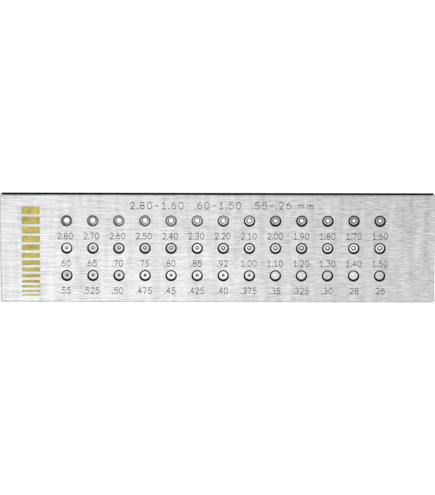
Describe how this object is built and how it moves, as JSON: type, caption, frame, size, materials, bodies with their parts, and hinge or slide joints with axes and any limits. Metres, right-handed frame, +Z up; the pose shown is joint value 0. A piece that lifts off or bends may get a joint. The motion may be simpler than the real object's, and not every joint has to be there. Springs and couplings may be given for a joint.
{
  "type": "wire draw plate",
  "caption": "Flat upright steel bar holding rows of pressed-in carbide dies of graded bore, each with its size engraved below, for drawing wire down to size.",
  "frame": {"origin": "middle of the plate's underside, where it stands on its long edge", "axes": "+Z up, +X along the plate's length to the right of someone who reads its numbers, -Y out of the numbered face, the way the wire leaves"},
  "size_m": [0.24, 0.01, 0.06],
  "materials": {
    "ground_steel": "satin",
    "carbide": "polished"
  },
  "bodies": {
    "root": {"plate": "ground_steel", "die_2_80": "carbide", "die_2_70": "carbide", "die_2_60": "carbide", "die_2_50": "carbide", "die_2_40": "carbide", "die_2_30": "carbide", "die_2_20": "carbide", "die_2_10": "carbide", "die_2_00": "carbide", "die_1_90": "carbide", "die_1_80": "carbide", "die_1_70": "carbide", "die_1_60": "carbide", "die_0_60": "carbide", "die_0_65": "carbide", "die_0_70": "carbide", "die_0_75": "carbide", "die_0_80": "carbide", "die_0_85": "carbide", "die_0_92": "carbide", "die_1_00": "carbide", "die_1_10": "carbide", "die_1_20": "carbide", "die_1_30": "carbide", "die_1_40": "carbide", "die_1_50": "carbide", "die_0_55": "carbide", "die_0_525": "carbide", "die_0_50": "carbide", "die_0_475": "carbide", "die_0_45": "carbide", "die_0_425": "carbide", "die_0_40": "carbide", "die_0_375": "carbide", "die_0_35": "carbide", "die_0_325": "carbide", "die_0_30": "carbide", "die_0_28": "carbide", "die_0_26": "carbide"}
  },
  "joints": []
}
